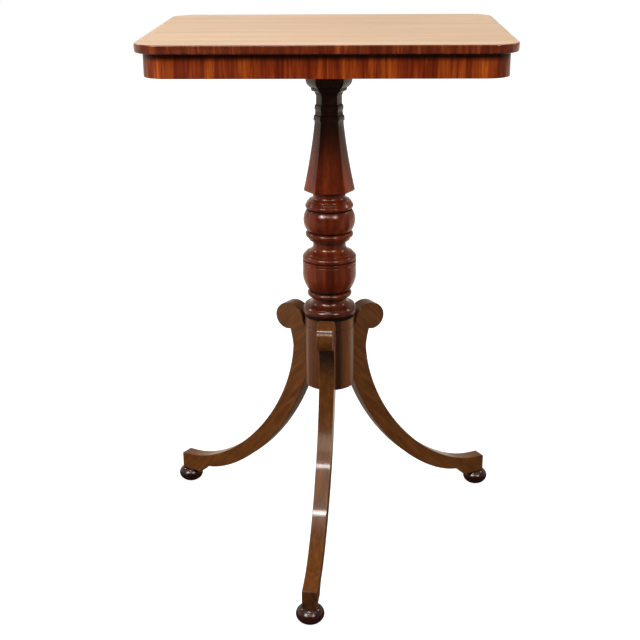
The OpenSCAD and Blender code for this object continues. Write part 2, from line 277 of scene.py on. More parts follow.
# %% The grain group
def grain_group():
    tree, into, out = group_tree("Grain", "ShaderNodeTree", {
        "Vector": ("NodeSocketVector", None),
        "Figure width": ("NodeSocketFloat", 0.02),
        "Figure length": ("NodeSocketFloat", 0.3),
        "Fibre width": ("NodeSocketFloat", 0.0015),
        "Wander": ("NodeSocketFloat", 0.5),
        "Shift": ("NodeSocketFloat", 0.0),
    }, {"Figure": "NodeSocketFloat", "Fibre": "NodeSocketFloat",
        "Pores": "NodeSocketFloat", "Height": "NodeSocketFloat"})
    place = add(tree, "ShaderNodeSeparateXYZ", {0: into.outputs["Vector"]}).outputs

    def streaks(width, length, detail, rough, wander, seed):
        """Noise as wide and long as given. seed keeps the scales from lining up."""
        across = combine(tree, "DIVIDE", 1.0, width)
        spot = add(tree, "ShaderNodeCombineXYZ", {
            "X": times(tree, place["X"], across), "Y": times(tree, place["Y"], across),
            "Z": combine(tree, "DIVIDE", place["Z"], length)})
        return add(tree, "ShaderNodeTexNoise", {
            "Vector": spot.outputs[0], "W": combine(tree, "ADD", into.outputs["Shift"], seed),
            "Scale": 1.0, "Detail": detail, "Roughness": rough, "Distortion": wander},
            noise_dimensions="4D").outputs["Fac"]

    width, length = into.outputs["Figure width"], into.outputs["Figure length"]
    fine = into.outputs["Fibre width"]
    figure = streaks(width, length, 3.0, 0.55, into.outputs["Wander"], 0.0)
    fibre = streaks(fine, times(tree, fine, 60.0), 2.0, 0.6, 0.2, 3.7)
    pores = streaks(times(tree, fine, 0.55), times(tree, fine, 9.0), 1.0, 0.5, 0.0, 8.1)
    fibre, pores = rise(tree, fibre, 0.25, 0.75), rise(tree, pores, 0.60, 0.72)
    height = combine(tree, "SUBTRACT", times(tree, fibre, 0.5), pores)
    for label, value in (("Figure", rise(tree, figure, 0.28, 0.72)), ("Fibre", fibre),
                         ("Pores", pores), ("Height", height)):
        tree.links.new(value, out.inputs[label])
    return tree


GRAIN = grain_group()
print("grain group:", len(GRAIN.nodes), "nodes")

# %% [markdown]
# ## Wear
# Old polish wears where hands and dusters rub it, which is on the arrises first. These
# could be painted by hand, but Pointiness already tells how sharp the surface is at
# each spot. Noise breaks the worn arrises up, so that they come and go, and gives
# scattered scuffs for broad faces.

# %% The wear group
def wear_group():
    tree, into, out = group_tree("Wear", "ShaderNodeTree", {
        "Vector": ("NodeSocketVector", None),
        "Spot size": ("NodeSocketFloat", 0.01),
        "Arris from": ("NodeSocketFloat", 0.52),
        "Arris to": ("NodeSocketFloat", 0.6),
    }, {"Arris": "NodeSocketFloat", "Scuffs": "NodeSocketFloat"})
    scale = combine(tree, "DIVIDE", 1.0, into.outputs["Spot size"])

    def cloud(size, detail, rough):
        return add(tree, "ShaderNodeTexNoise", {
            "Vector": into.outputs["Vector"], "Scale": size, "Detail": detail,
            "Roughness": rough}).outputs["Fac"]

    point = add(tree, "ShaderNodeNewGeometry").outputs["Pointiness"]
    edge = rise(tree, point, into.outputs["Arris from"], into.outputs["Arris to"])
    breaks = rise(tree, cloud(scale, 4.0, 0.6), 0.42, 0.62)
    scuffs = rise(tree, cloud(times(tree, scale, 3.0), 5.0, 0.7), 0.62, 0.72)
    tree.links.new(times(tree, edge, breaks), out.inputs["Arris"])
    tree.links.new(scuffs, out.inputs["Scuffs"])
    return tree


WEAR = wear_group()
print("wear group:", len(WEAR.nodes), "nodes")

# %% [markdown]
# ## Colour
# A colour is easiest to compare with a photograph as it is written on screen, from 0
# to 255. Shaders want it linear, so each colour goes through one small formula.

# %% Helpers for colours and materials
def paint(red, green, blue):
    """A screen colour from 0 to 255, as the linear colour that shaders use."""
    def linear(c):
        c /= 255.0
        return c / 12.92 if c <= 0.04045 else ((c + 0.055) / 1.055) ** 2.4
    return (linear(red), linear(green), linear(blue), 1.0)


def ramp(tree, value, stops):
    """A colour ramp through [(position, colour), ...]."""
    node = add(tree, "ShaderNodeValToRGB", {0: value})
    band = node.color_ramp
    while len(band.elements) < len(stops):
        band.elements.new(0.5)
    for element, (position, colour) in zip(band.elements, stops):
        element.position = position
        element.color = colour
    return node.outputs["Color"]


def mix(tree, amount, a, b):
    """Mixes two colours, and returns the output socket."""
    node = add(tree, "ShaderNodeMix", {0: amount, 6: a, 7: b}, data_type="RGBA")
    return node.outputs[2]


def blank_material(name):
    """A material without nodes, and its tree."""
    material = bpy.data.materials.new(name)
    material.use_nodes = True
    material.node_tree.nodes.clear()
    return material, material.node_tree


print("mid grey on screen is", round(paint(128, 128, 128)[0], 3), "to a shader")

# %% [markdown]
# ## Polished wood
# All the woods here are made in the same order, so one recipe serves them. The grain
# is coloured with a ramp, the fibres and pores are darkened, and the worn arrises
# get a colour of their own. Thin polish is a coat over the wood, and it dulls where it
# is rubbed. Old wax lies in grooves and never wears off, and painted shade darkens
# hollows, the places under overhangs and some sawn edges. Pointiness can't find a wide
# hollow, so each piece stores one amount of wax and painted shade at each point, and
# there the wood is almost black and has no shine.

# %% One recipe for every polished wood
# The last colour is the near-black of old wax and of painted shade.
BLACK, PORE, WAX_AND_SHADE_COLOUR = (0, 0, 0, 1), (0.01, 0.005, 0.003, 1), paint(14, 8, 6)
WAX_ROUGHNESS = 0.85
RELIEF_DEPTH = 0.0003


def wood(name, stops, turn=(0, 0, 0), figure=(0.02, 0.3), fibre=0.0015, wander=0.5,
         shift=0.0, fibre_dark=0.25, pore_dark=0.5, worn=None, worn_amount=0.7,
         rough=(0.18, 0.3), coat=0.2, film=0.12, shine=0.25, relief=0.15,
         follows=None, hollows=None, tint=None):
    """stops colour the figure, and turn lays the grain in degrees.
    figure is its width and length, and rough the roughness of bright and of dull polish.
    coat, film and shine are the polish's weight, its roughness and the wood's own gloss.
    follows names a mesh attribute for the grain, and hollows one for wax and painted shade.
    tint(tree, place, colour) may change the colour at the end."""
    material, tree = blank_material(name)
    if follows:
        place = add(tree, "ShaderNodeAttribute", attribute_name=follows).outputs["Vector"]
    else:
        place = add(tree, "ShaderNodeTexCoord").outputs["Object"]
    laid = add(tree, "ShaderNodeMapping", {
        "Vector": place, "Rotation": tuple(math.radians(a) for a in turn)})
    grain = add(tree, "ShaderNodeGroup", {
        "Vector": laid.outputs[0], "Figure width": figure[0], "Figure length": figure[1],
        "Fibre width": fibre, "Wander": wander, "Shift": shift}, node_tree=GRAIN).outputs
    wear = add(tree, "ShaderNodeGroup", {"Vector": place}, node_tree=WEAR).outputs

    colour = ramp(tree, grain["Figure"], stops)
    colour = mix(tree, times(tree, grain["Fibre"], fibre_dark), colour, BLACK)
    colour = mix(tree, times(tree, grain["Pores"], pore_dark), colour, PORE)
    if worn:
        colour = mix(tree, times(tree, wear["Arris"], worn_amount), colour, worn)
    if tint:
        colour = tint(tree, place, colour)
    dull = combine(tree, "ADD", times(tree, grain["Fibre"], 0.5), times(tree, wear["Scuffs"], 0.5))
    gloss = rise(tree, dull, 0.0, 1.0, rough[0], rough[1])
    film_on = coat
    if hollows:
        wax_and_shade = add(tree, "ShaderNodeAttribute", attribute_name=hollows).outputs["Fac"]
        # Old wax and painted shade: the stored amount turns the wood near black and dull.
        colour = mix(tree, wax_and_shade, colour, WAX_AND_SHADE_COLOUR)
        film_on = times(tree, combine(tree, "SUBTRACT", 1.0, wax_and_shade), coat)
        gloss = largest(tree, gloss, times(tree, wax_and_shade, WAX_ROUGHNESS))
    bump = add(tree, "ShaderNodeBump", {
        "Strength": relief, "Distance": RELIEF_DEPTH, "Height": grain["Height"]})
    shader = add(tree, "ShaderNodeBsdfPrincipled", {
        "Base Color": colour, "Roughness": gloss, "Normal": bump.outputs[0],
        "Specular IOR Level": shine, "Coat Weight": film_on, "Coat Roughness": film})
    add(tree, "ShaderNodeOutputMaterial", {"Surface": shader.outputs[0]})
    return material


def shows(material):
    """Prints what a wood was made of, and hands it on."""
    print("wood:", material.name, "-", len(material.node_tree.nodes), "nodes")
    return material


# %% [markdown]
# ## The top and its edge
# Sun has bleached the veneer of the top to a pale tan, with the grain lying from side
# to side. Its edge is banded with short grain and kept its dark red polish, except on
# the upper face, which has faded with the top. So the edging's material looks at which
# way the surface points.

# %% Wood of the top and the edging
top_stops = [(0.0, paint(179, 145, 112)), (0.5, paint(193, 159, 129)),
             (1.0, paint(205, 172, 141))]
edge_stops = [(0.0, paint(76, 23, 10)), (0.6, paint(108, 42, 16)), (1.0, paint(151, 70, 28))]


def surface_normal(tree, letter):
    return component(tree, add(tree, "ShaderNodeNewGeometry").outputs["Normal"], letter)


def pale_above(tree, place, colour):
    """The edging's upper face is as faded as the top."""
    share = rise(tree, surface_normal(tree, "Z"), 0.75, 0.95)
    return mix(tree, share, colour, top_stops[1][1])


TOP = shows(wood(
    "faded_top", top_stops, turn=(0, 90, 0), fibre=0.0022, wander=0.6, fibre_dark=0.12,
    pore_dark=0.25, rough=(0.3, 0.42), coat=0.15, relief=0.05))
EDGING = shows(wood(
    "edging", edge_stops, figure=(0.007, 0.05), fibre=0.0016, wander=0.2, fibre_dark=0.3,
    rough=(0.16, 0.28), coat=0.4, relief=0.05, tint=pale_above))

# %% [markdown]
# ## The frieze
# The frieze is veneered upright in strong red and amber stripes. A painted shadow of
# the edging lies dark in the corner under it, and the two rounded ends, which face
# sideways, are made darker. Both places are found from the height and from the way the
# surface points, so they need no picture.

# %% Wood of the frieze
red_stops = [(0.0, paint(90, 25, 8)), (0.45, paint(126, 45, 16)), (0.75, paint(165, 71, 20)),
             (1.0, paint(199, 99, 30))]
SHADOW_FROM, SHADOW_TO = 0.7185, 0.7245


def shadow_under_edging_dark_ends(tree, place, colour):
    """Paints the edging's shadow in the corner under it, and darkens the sideways ends."""
    # Painted shadow of the edging's overhang in the corner under it.
    corner = rise(tree, component(tree, place, "Z"), SHADOW_FROM, SHADOW_TO, high=0.92)
    colour = mix(tree, corner, colour, paint(22, 12, 8))
    # The sideways-facing rounded ends are made darker.
    aside = combine(tree, "ABSOLUTE", surface_normal(tree, "X"))
    return mix(tree, rise(tree, aside, 0.25, 0.9, high=0.65), colour, paint(40, 16, 8))


FRIEZE = shows(wood(
    "frieze_veneer", red_stops, figure=(0.008, 0.16), fibre=0.0018, wander=0.7,
    fibre_dark=0.35, rough=(0.14, 0.24), coat=0.14, shine=0.14, relief=0.05,
    tint=shadow_under_edging_dark_ends))

# %% [markdown]
# ## Pillar and hub
# The pillar is a deep red-brown under a glossy film. The capital is painted dark with
# the shade of the top over it, and the base mouldings are darker towards the hub. The
# hub under it is a browner, duller wood. On the right of the front leg a painted shadow
# of the leg makes the hub nearly black. These dark places are tints by height and place,
# laid over the same recipe.

# %% Wood of the pillar and the hub
pillar_stops = [(0.0, paint(76, 22, 9)), (0.5, paint(109, 39, 16)), (1.0, paint(144, 61, 25))]
hub_stops = [(0.0, paint(69, 33, 13)), (0.5, paint(90, 48, 21)), (1.0, paint(112, 64, 31))]
CAPITAL_SHADE = (0.53, 0.61)
BASE_DARK = (hub_top + 0.045, hub_top + 0.02)


def shaded_capital_dark_base(tree, place, colour):
    """Paints the top's shade on the capital, and darkens the base mouldings towards the hub."""
    height = component(tree, place, "Z")
    # Painted shade on the capital, and darker base mouldings near the hub.
    share = largest(tree, rise(tree, height, *CAPITAL_SHADE, high=0.9),
                    rise(tree, height, *BASE_DARK, high=0.42))
    return mix(tree, share, colour, paint(22, 17, 12))


def painted_leg_shadow(tree, place, colour):
    """Paints the front leg's shadow on the hub, on the right of the leg."""
    spot = add(tree, "ShaderNodeSeparateXYZ", {0: place}).outputs
    begins = rise(tree, spot["X"], axis.x + 0.004, axis.x + 0.008)
    ends = rise(tree, spot["X"], axis.x + 0.0135, axis.x + 0.02, 0.72, 0.0)
    ahead = rise(tree, spot["Y"], axis.y - 0.01, axis.y - 0.02)
    # Painted shadow cast by the front leg.
    return mix(tree, times(tree, times(tree, begins, ends), ahead), colour, paint(18, 10, 6))


PILLAR = shows(wood(
    "pillar", pillar_stops, figure=(0.012, 0.25), fibre=0.0013, wander=0.3, fibre_dark=0.35,
    rough=(0.16, 0.26), coat=0.45, film=0.09, shine=0.12, relief=0.1, hollows="wax_and_shade",
    tint=shaded_capital_dark_base))
HUB = shows(wood(
    "hub", hub_stops, figure=(0.01, 0.2), fibre=0.0012, fibre_dark=0.35, shift=2.0,
    rough=(0.28, 0.4), coat=0.3, shine=0.12, hollows="wax_and_shade", tint=painted_leg_shadow))

# %% [markdown]
# ## Legs, feet and the hidden woods
# The legs are a warm brown, with arrises that are rubbed dark. Their grain follows the
# sawn board, so it is read from an attribute and not from the room. The bun feet are
# almost black. Inside, where nobody looks, the boards are plain, dry and pale, and each
# only lies another way.

# %% Wood of the legs, the feet and the inside
leg_stops = [(0.0, paint(78, 41, 13)), (0.5, paint(94, 52, 18)), (1.0, paint(111, 65, 24))]
foot_stops = [(0.0, paint(30, 12, 9)), (1.0, paint(52, 20, 14))]
inner_stops = [(0.0, paint(104, 76, 48)), (0.5, paint(120, 90, 58)), (1.0, paint(136, 106, 72))]

LEG = shows(wood(
    "leg", leg_stops, figure=(0.006, 0.04), fibre=0.0013, shift=4.0, pore_dark=0.35,
    rough=(0.28, 0.4), coat=0.45, film=0.07, shine=0.13, follows="grain_at", hollows="wax_and_shade",
    worn=paint(36, 22, 12)))
FOOT = shows(wood(
    "foot", foot_stops, figure=(0.008, 0.05), fibre=0.001, rough=(0.16, 0.26), coat=0.4,
    shift=6.0))


def inner_wood(way, turn, shift):
    return shows(wood("inner_wood_" + way, inner_stops, turn=turn, figure=(0.012, 0.4),
                      rough=(0.55, 0.7), coat=0.0, shift=shift))


INNER_LONG = inner_wood("long", (0, 90, 0), 1.0)
INNER_DEEP = inner_wood("deep", (90, 0, 0), 7.0)
INNER_UP = inner_wood("up", (0, 0, 0), 5.0)
WEDGE = shows(wood("wedge", leg_stops, figure=(0.006, 0.1), fibre=0.0008, rough=(0.45, 0.6),
                   coat=0.0, shift=9.0))

# %% [markdown]
# ## Steel
# The screws have dulled in the dry inside of the table. A plain metal would look new,
# so fine noise breaks up both its colour and its shine.

# %% The screws' steel
STEEL_GRIT = 900.0


def steel():
    material, tree = blank_material("screw_steel")
    place = add(tree, "ShaderNodeTexCoord").outputs["Object"]
    cloud = add(tree, "ShaderNodeTexNoise", {
        "Vector": place, "Scale": STEEL_GRIT, "Detail": 4.0}).outputs["Fac"]
    colour = ramp(tree, cloud, [(0.3, paint(96, 92, 88)), (0.7, paint(150, 148, 144))])
    shader = add(tree, "ShaderNodeBsdfPrincipled", {
        "Base Color": colour, "Metallic": 1.0, "Roughness": rise(tree, cloud, 0, 1, 0.35, 0.6)})
    add(tree, "ShaderNodeOutputMaterial", {"Surface": shader.outputs[0]})
    return material


STEEL = steel()
print("materials:", len(bpy.data.materials))

# %% [markdown]
# ## Outlines
# A turner works from a list of diameters and heights, with hollows and rounds between
# them. The outline could be a drawn curve, but rows are closer to the turner's list
# and to the solids, which were made from the same rows: radius, height, and the bulge
# of the arc up to the next row, in millimetres.

# %% Helpers for outlines
def bow(p, q, bulge, steps=12):
    """Points of the arc from p to q, without p. bulge is its height over the chord."""
    p, q = Vector(p), Vector(q)
    if bulge == 0:
        return [q]
    chord = q - p
    along = chord.normalized()
    out = Vector((along.y, -along.x))
    h = abs(bulge)
    radius = (chord.length_squared / 4 + h * h) / (2 * h)
    half = math.asin(chord.length / 2 / radius)
    middle = (p + q) / 2
    points = []
    for i in range(1, steps + 1):
        t = -half + 2 * half * i / steps
        points.append(middle + along * radius * math.sin(t)
                      + out * math.copysign(1, bulge) * (radius * math.cos(t) - radius + h))
    return points


def outline(rows, z0=0.0):
    """An outline through rows of (radius, height, bulge up to the next row)."""
    points = [Vector(rows[0][:2])]
    for (r0, h0, bulge), (r1, h1, _) in zip(rows, rows[1:]):
        points += bow((r0, h0), (r1, h1), bulge)
    return [Vector((p.x, p.y + z0)) for p in points]


def eased(points, size, closed=False, limit=24.0, most=0.45, cuts=3):
    """Rounds each sharp corner of an outline by about size."""
    done = []
    count = len(points)
    for i, p in enumerate(points):
        before, after = p - points[i - 1], points[(i + 1) % count] - p
        at_end = not closed and i in (0, count - 1)
        if at_end or min(before.length, after.length) < 1e-9 \
                or before.angle(after) < math.radians(limit):
            done.append(p)
            continue
        cut = min(size, before.length * most, after.length * most)
        a, b = p - before.normalized() * cut, p + after.normalized() * cut
        for k in range(cuts + 1):
            t = k / cuts
            done.append(a * (1 - t) ** 2 + p * 2 * t * (1 - t) + b * t * t)
    return done


print("points of a quarter round:", len(bow((1, 0), (0, 1), 0.3)))

# %% [markdown]
# ## Pillar
# Two rules make the whole pillar. Up to the flat foot of the shaft it is turned, so
# each height has a circle. Above, it is cut to six faces, three broad and three narrow,
# so each height has the same six-cornered section at another size. A lathe tool makes
# only the first, so one tree covers both: it runs a section of unit size up the axis,
# and scales it by a girth that each point of the path carries.

# %% The tree that stacks sections up the axis
def sections_tree():
    tree, into, out = group_tree("Sections up an axis", "GeometryNodeTree", {
        "Geometry": ("NodeSocketGeometry", None),
        "Six faces": ("NodeSocketBool", False),
        "Broad face": ("NodeSocketFloat", 72.0),
        "Turn": ("NodeSocketFloat", 0.0),
        "Arris": ("NodeSocketFloat", 0.012),
        "Round sides": ("NodeSocketInt", 96),
        "Finish": ("NodeSocketMaterial", None),
    }, {"Geometry": "NodeSocketGeometry"})
    girth = add(tree, "GeometryNodeInputNamedAttribute", {"Name": "girth"}, data_type="FLOAT")
    path = add(tree, "GeometryNodeMeshToCurve", {"Mesh": into.outputs["Geometry"]})
    circle = add(tree, "GeometryNodeCurvePrimitiveCircle", {
        "Resolution": into.outputs["Round sides"], "Radius": 1.0})
    hexagon = add(tree, "GeometryNodeCurvePrimitiveCircle", {"Resolution": 6, "Radius": 1.0})
    index = add(tree, "GeometryNodeInputIndex").outputs[0]
    pair = combine(tree, "FLOOR", combine(tree, "DIVIDE", index, 2.0))
    side = combine(tree, "SUBTRACT", times(tree, combine(tree, "MODULO", index, 2.0), 2.0), 1.0)
    angle = combine(tree, "MULTIPLY_ADD", side, times(tree, into.outputs["Broad face"], 0.5),
                    into.outputs["Turn"])
    angle = combine(tree, "RADIANS", combine(tree, "MULTIPLY_ADD", pair, 120.0, angle))
    corner = add(tree, "ShaderNodeCombineXYZ", {
        "X": combine(tree, "COSINE", angle), "Y": combine(tree, "SINE", angle)})
    shaped = add(tree, "GeometryNodeSetPosition", {
        "Geometry": hexagon.outputs["Curve"], "Position": corner.outputs[0]})
    softened = add(tree, "GeometryNodeFilletCurve", {
        "Curve": shaped.outputs[0], "Radius": into.outputs["Arris"], "Count": 3}, mode="POLY")
    section = add(tree, "GeometryNodeSwitch", {
        "Switch": into.outputs["Six faces"], "False": circle.outputs["Curve"],
        "True": softened.outputs[0]}, input_type="GEOMETRY")
    swept = add(tree, "GeometryNodeCurveToMesh", {
        "Curve": path.outputs[0], "Profile Curve": section.outputs[0],
        "Scale": girth.outputs[0], "Fill Caps": True})
    end_tree(tree, swept.outputs[0], into, out)
    return tree


SECTIONS = sections_tree()
print("sections tree:", len(SECTIONS.nodes), "nodes")

# %% [markdown]
# Old wax builds up in grooves where a cloth can't reach, and painted shade darkens the
# grooves too, the places under the member above, and the recess under the lowest moulding.
# Each point of the outline knows its neighbours, so the amount is worked out there, and
# goes up the axis with the girth.

# %% Wax and painted shade in the hollows of an outline
def wax_and_shade_in(points, foot=0.0, least=0.0, roof=0.0, reach=3.4, depth=2.2,
           over_reach=5.0, over_depth=8.5, roof_reach=7.0):
    """How dark each point is made: wax and painted shade in the grooves close by, and
    painted shadow under the member above. The lowest stretch, as high as foot, is full
    of painted shade, there is least of it everywhere, and roof is the radius of what
    stands on the top."""
    wax_and_shade = []
    for p in points:
        above = max([q.x for q in points if 0 <= q.y - p.y <= reach])
        below = max([q.x for q in points if 0 <= p.y - q.y <= reach])
        over = max([q.x for q in points if 0 <= q.y - p.y <= over_reach])
        if points[-1].y - p.y <= roof_reach:
            over = max(over, roof)
        # A groove gives old wax and painted shade, and the member above a painted shadow.
        hidden = max(least, (min(above, below) - p.x) / depth, (over - p.x) / over_depth)
        wax_and_shade.append(1.0 if p.y - points[0].y < foot else min(1.0, hidden))
    return wax_and_shade


def stacked(name, points, values, **hollows):
    """A stack of sections through points of (radius, height) in millimetres."""
    path = mesh_object(name + "_path", [(axis.x, axis.y, p.y * MM) for p in points],
                       [(i, i + 1) for i in range(len(points) - 1)])
    wax_and_shade = wax_and_shade_in(points, **hollows)
    store(path, "girth", [p.x * MM for p in points])
    store(path, "wax_and_shade", wax_and_shade)
    print(f"{name}: {len(points)} points, {sum(w > 0.5 for w in wax_and_shade)} of them in wax")
    return crisp(made_by(SECTIONS, path, name, values))


# %% [markdown]
# From the hub up come a base, an urn with a line round it, a neck, a ball, and the rings
# that carry the shaft. Each is a few rows.

# %% The turned mouldings
turned_rows = [
    (34.4, 0, 0), (34.4, 6.2, 0), (38.2, 6.8, 1.5), (35.6, 15.4, 0), (34.8, 16.4, 0),
    (35.6, 17.3, 0), (30.9, 18.2, -1.8), (24.3, 26.0, 0), (24.2, 29.6, 0), (28.2, 30.4, 3.2),
    (28.6, 38.2, 0), (27.0, 38.8, 0), (27.0, 40.2, 0), (30.3, 41.2, 2.7), (37.9, 68.4, 0),
    (37.9, 78.6, 0), (37.1, 79.4, 0), (37.9, 80.2, 0.3), (37.9, 83.4, 0), (35.8, 84.0, 0),
    (35.8, 84.9, 0), (37.7, 85.4, 1.6), (34.8, 92.4, 0), (33.6, 93.2, 0), (33.9, 94.2, 0.2),
    (31.2, 96.2, -2.1), (23.1, 105.7, 0), (23.0, 112.4, 0), (28.4, 113.2, 0.3), (29.6, 116.4, 0),
    (31.4, 117.4, 2.2), (31.6, 125.0, 0), (29.4, 125.6, 0), (29.4, 127.0, 0), (32.0, 127.6, 4.6),
    (31.9, 156.7, 0), (29.8, 157.4, 0), (29.8, 158.3, 0), (31.4, 158.9, 0.6), (33.7, 161.6, 0.4),
    (33.0, 164.4, 0), (30.9, 168.3, 0), (28.6, 169.2, 0), (28.2, 170.2, 0), (28.8, 171.0, -1.2),
    (22.7, 175.2, 0), (22.7, 184.0, 0)]
TURNED_ARRIS, LOWEST_RING, SHAFT_FOOT = 0.35, 6.3, 34.0

# The recess under the lowest ring, and the shade under the shaft's foot, are painted dark.
turned = stacked("pillar_turned", eased(outline(turned_rows, hub_top / MM), TURNED_ARRIS), {
    "Six faces": False, "Round sides": 128, "Finish": PILLAR},
    foot=LOWEST_RING, least=0.2, roof=SHAFT_FOOT)

# %% [markdown]
# The shaft swells downwards with slightly hollow sides and ends in a flat foot. The
# capital's bands run round the same six faces.

# %% The six-faced shaft and capital
TURNED_HEIGHT, CAPITAL_HEIGHT = 183.2, 90
SHAFT_ARRIS, SHAFT_HOLLOW = 0.3, -1.3
FACING_FRONT, PILLAR_TURN = -90.0, 3.0
shaft_low = hub_top / MM + TURNED_HEIGHT
cap_low = block_lo.z / MM - CAPITAL_HEIGHT
capital_rows = [
    (20.1, 0, 0), (20.2, 3.0, 0), (21.4, 4.0, 0.2), (20.8, 10.4, 0), (19.5, 11.0, 0),
    (18.8, 16.8, 0), (19.3, 17.6, 0.6), (19.3, 24.6, 0), (18.2, 25.2, 0), (17.9, 27.4, 0),
    (17.8, 36.4, -0.5), (20.4, 42.4, 0), (22.8, 43.2, 0), (24.4, 44.4, 0), (24.6, 47.6, 0),
    (25.0, 48.0, 1.2), (31.9, 57.0, 0), (32.2, 71.0, 0), (31.0, 73.0, 0), (31.0, 90.0, 0)]
shaft_foot = outline([(34.2, 0, 0), (35.4, 1.0, 0), (35.8, 2.4, 0)], shaft_low)
shaft_points = shaft_foot + bow(shaft_foot[-1], (capital_rows[0][0], cap_low), SHAFT_HOLLOW, 28) \
    + outline(capital_rows, cap_low)[1:]
shaft = stacked("pillar_shaft", eased(shaft_points, SHAFT_ARRIS), {
    "Six faces": True, "Turn": FACING_FRONT + PILLAR_TURN, "Finish": PILLAR})

# %% [markdown]
# The pillar's lower tenon passes through the hub and shows underneath, split by its
# wedge. A hole could be cut for the wedge, but two half-round cheeks leave the same
# gap between them, and meet it with clean edges.

# %% The wedged tenon
TENON_R, WEDGE_HALF = 13.9, 1.35


def half_disc(name, radius, gap, low, high, steps, place):
    """Half a disc, cut off at gap from its middle. place(across, along) gives x and y."""
    start = math.asin(gap / radius)
    ring = [place(radius * math.sin(a), radius * math.cos(a)) for a in
            [start + (math.pi - 2 * start) * k / steps for k in range(steps + 1)]]
    points = [(x, y, z) for z in (low, high) for x, y in ring]
    return mesh_object(name, points, faces=skin(len(ring), 2))


def tenon_cheek(side):
    return half_disc("tenon_cheek", TENON_R, WEDGE_HALF, hub_low, hub_top, 32,
                     lambda across, along: (axis.x + side * across * MM, axis.y + along * MM))


pillar = joined("pillar_dressed", [turned, shaft, tenon_cheek(1), tenon_cheek(-1)])
pillar.data.materials.append(PILLAR)
crisp(pillar)
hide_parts("pillar")
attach(pillar, "root")

# %% [markdown]
# ## Top edging and frieze
# Both run round a rectangle with rounded corners. They could be bevelled boxes, but a
# section that is swept round the plan keeps its own profile in the corners. The tree
# draws the plan from length, depth and corner radius, and sweeps the section along it.

# %% The tree that runs a section round the top
def round_tree():
    tree, into, out = group_tree("Section round a top", "GeometryNodeTree", {
        "Geometry": ("NodeSocketGeometry", None),
        "Length": ("NodeSocketFloat", 0.4),
        "Depth": ("NodeSocketFloat", 0.3),
        "Corner": ("NodeSocketFloat", 0.03),
        "Centre": ("NodeSocketVector", None),
        "Finish": ("NodeSocketMaterial", None),
    }, {"Geometry": "NodeSocketGeometry"})
    section = add(tree, "GeometryNodeMeshToCurve", {"Mesh": into.outputs["Geometry"]})
    plan = add(tree, "GeometryNodeCurvePrimitiveQuadrilateral", {
        "Width": into.outputs["Length"], "Height": into.outputs["Depth"]})
    rounded = add(tree, "GeometryNodeFilletCurve", {
        "Curve": plan.outputs[0], "Radius": into.outputs["Corner"], "Count": 40}, mode="POLY")
    level = add(tree, "GeometryNodeSetCurveNormal", {"Curve": rounded.outputs[0]}, mode="Z_UP")
    swept = add(tree, "GeometryNodeCurveToMesh", {
        "Curve": level.outputs[0], "Profile Curve": section.outputs[0]})
    placed = add(tree, "GeometryNodeTransform", {
        "Geometry": swept.outputs[0], "Translation": into.outputs["Centre"]})
    end_tree(tree, placed.outputs[0], into, out)
    return tree


ROUND = round_tree()


def run_round(name, section, low, high, corner, material):
    """Sweeps a section of (outward, up) points in millimetres round the box low to high."""
    count = len(section)
    base = mesh_object(name + "_section", [(p.x * MM, -p.y * MM, 0.0) for p in section],
                       [(i, (i + 1) % count) for i in range(count)])
    return crisp(made_by(ROUND, base, name, {
        "Length": high.x - low.x, "Depth": high.y - low.y, "Corner": corner * MM,
        "Centre": (top_middle.x, top_middle.y, low.z), "Finish": material}))


print("round tree:", len(ROUND.nodes), "nodes")

# %% [markdown]
# The edging is a thin band with both arrises rubbed round. On the real table it comes
# down a little over the frieze, so it gets a lip below the solid's own level.

# %% The edging
EDGE_WIDTH, EDGE_ROUND, EDGE_LIP, EDGE_CORNER = 4.0, 1.9, 1.1, 34.4
edge_thick = (top_hi.z - top_lo.z) / MM + EDGE_LIP


def rounded_edge(thick, arris, steps=8):
    """The edging's section: both outer arrises rounded."""
    points = [Vector((-EDGE_WIDTH, 0.0))]
    for level, start in ((arris, -90.0), (thick - arris, 0.0)):
        for k in range(steps + 1):
            a = math.radians(start + 90.0 * k / steps)
            points.append(Vector((-arris, level)) + arris * Vector((math.cos(a), math.sin(a))))
    return points + [Vector((-EDGE_WIDTH, thick))]


edging = run_round("edging_dressed", rounded_edge(edge_thick, EDGE_ROUND),
                   top_lo - Vector((0, 0, EDGE_LIP * MM)), top_hi, EDGE_CORNER, EDGING)
print("edging:", round(edge_thick, 2), "mm thick, solid:", tuple(top_lo), tuple(top_hi))
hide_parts("top_edging")
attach(edging, "root")

# %% [markdown]
# The frieze is a plain upright band whose arrises are only just broken.

# %% The frieze
FRIEZE_DEPTH, FRIEZE_ARRIS, FRIEZE_CORNER = 1, 0.4, 31.0
frieze_high = (frieze_hi.z - frieze_lo.z) / MM
frieze_section = eased([Vector((-FRIEZE_DEPTH, 0)), Vector((0, 0)), Vector((0, frieze_high)),
                        Vector((-FRIEZE_DEPTH, frieze_high))], FRIEZE_ARRIS, closed=True)
frieze = run_round("frieze_dressed", frieze_section, frieze_lo, frieze_hi, FRIEZE_CORNER, FRIEZE)
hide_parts("frieze_veneer")
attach(frieze, "root")

# %% [markdown]
# ## Legs and feet
# The three legs are sawn from one pattern. Each could be modelled on its own, but one
# leg is drawn, and a tree sets three of them round the pillar. Their housings were cut
# by eye, so each leg has its own small turn, and all three stand a little beside the
# middle lines of the hub, as on the real table. The same tree sets the bun feet.

